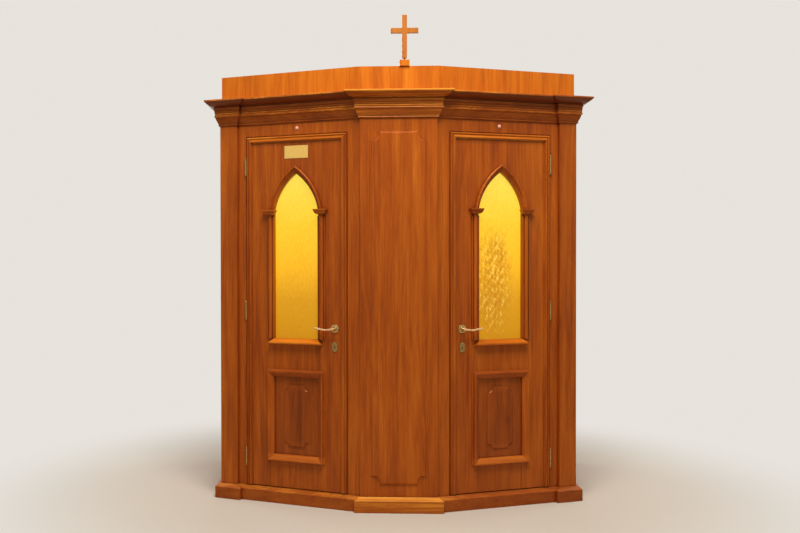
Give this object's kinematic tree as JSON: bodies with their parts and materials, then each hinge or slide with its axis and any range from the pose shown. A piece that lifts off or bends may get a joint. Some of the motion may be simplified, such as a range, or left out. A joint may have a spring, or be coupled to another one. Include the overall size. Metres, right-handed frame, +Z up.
{
  "type": "confessional booth",
  "caption": "Free-standing wooden confessional booth: canted front, a cross on the parapet, and on each wing an outward-opening door with a pointed window.",
  "frame": {"origin": "on the floor, in the middle of the footprint's bounding box", "axes": "+Z up; +X to the right as seen by someone facing the doors; +Y from the front to the back"},
  "size_m": [2.302, 1.409, 2.827],
  "materials": {
    "case_wood": "satin varnish",
    "panel_wood": "satin varnish",
    "trim_wood": "satin varnish",
    "inner_wood": "matt varnish",
    "brass": "polished, worn",
    "steel": "brushed",
    "amber_glass": "hammered, translucent",
    "lamp_glass": "opal",
    "upholstery": "woven velvet"
  },
  "bodies": {
    "booth": {"floor_deck": "inner_wood", "floor_bearers": "trim_wood", "plinth_boards": "trim_wood", "door_jambs": "case_wood", "head_rails": "case_wood", "corner_posts": "case_wood", "centre_panel": "panel_wood", "side_walls": "case_wood", "back_wall": "trim_wood", "roof_deck": "trim_wood", "cornice": "trim_wood", "parapet_boards": "panel_wood", "partition_boards": "inner_wood", "screen_frame": "inner_wood", "screen_grille": "inner_wood", "cross": "case_wood", "cross_base": "case_wood", "signal_lamps": "lamp_glass", "ceiling_lamps": "lamp_glass", "seat": "inner_wood", "seat_cushion": "upholstery", "kneeler": "inner_wood", "kneeler_pad": "upholstery", "strike_plates": "brass", "hinge_posts": "brass"},
    "left_door": {"left_stiles": "case_wood", "left_rails": "case_wood", "left_lower_panel": "trim_wood", "left_panel_moulding": "case_wood", "left_glass": "amber_glass", "left_glass_bead": "case_wood", "left_hood_mould": "case_wood", "left_window_columns": "case_wood", "left_capitals": "case_wood", "left_window_sill": "case_wood", "left_edge_moulding": "case_wood", "left_lock_case": "steel", "left_roses": "brass", "left_hinge_leaves": "brass", "left_name_plate": "brass"},
    "left_lever": {"left_levers": "brass"},
    "left_latch": {"left_latch_bolt": "brass"},
    "left_deadbolt": {"left_dead_bolt": "brass"},
    "right_door": {"right_stiles": "case_wood", "right_rails": "case_wood", "right_lower_panel": "trim_wood", "right_panel_moulding": "case_wood", "right_glass": "amber_glass", "right_glass_bead": "case_wood", "right_hood_mould": "case_wood", "right_window_columns": "case_wood", "right_capitals": "case_wood", "right_window_sill": "case_wood", "right_edge_moulding": "case_wood", "right_lock_case": "steel", "right_roses": "brass", "right_hinge_leaves": "brass"},
    "right_lever": {"right_levers": "brass"},
    "right_latch": {"right_latch_bolt": "brass"},
    "right_deadbolt": {"right_dead_bolt": "brass"}
  },
  "joints": [
    {"name": "left_door_hinge", "type": "hinge", "parent": "booth", "child": "left_door", "pos_m": [-0.90226, -0.35763, 0.085], "axis": [0, 0, -1], "range_deg": [0, 100]},
    {"name": "left_lever_turn", "type": "hinge", "parent": "left_door", "child": "left_lever", "pos_m": [-0.36377, -0.54617, 1.036], "axis": [-0.342, -0.9397, 0], "range_deg": [0, 40], "stiffness_Nm_per_rad": 1.5, "springref_deg": -17.19},
    {"name": "left_latch_slide", "type": "slide", "parent": "left_door", "child": "left_latch", "axis": [-0.9397, 0.342, 0], "range_m": [0, 0.012]},
    {"name": "left_deadbolt_slide", "type": "slide", "parent": "left_door", "child": "left_deadbolt", "axis": [0.9397, -0.342, 0], "range_m": [0, 0.014]},
    {"name": "right_door_hinge", "type": "hinge", "parent": "booth", "child": "right_door", "pos_m": [0.90226, -0.35763, 0.085], "axis": [0, 0, 1], "range_deg": [0, 100]},
    {"name": "right_lever_turn", "type": "hinge", "parent": "right_door", "child": "right_lever", "pos_m": [0.36377, -0.54617, 1.036], "axis": [-0.342, 0.9397, 0], "range_deg": [0, 40], "stiffness_Nm_per_rad": 1.5, "springref_deg": -17.19},
    {"name": "right_latch_slide", "type": "slide", "parent": "right_door", "child": "right_latch", "axis": [0.9397, 0.342, 0], "range_m": [0, 0.012]},
    {"name": "right_deadbolt_slide", "type": "slide", "parent": "right_door", "child": "right_deadbolt", "axis": [-0.9397, -0.342, 0], "range_m": [0, 0.014]}
  ],
  "couplings": [
    {"joint": "left_latch_slide", "follows": "left_lever_turn", "m_per_rad": 0.017},
    {"joint": "right_latch_slide", "follows": "right_lever_turn", "m_per_rad": 0.017}
  ]
}
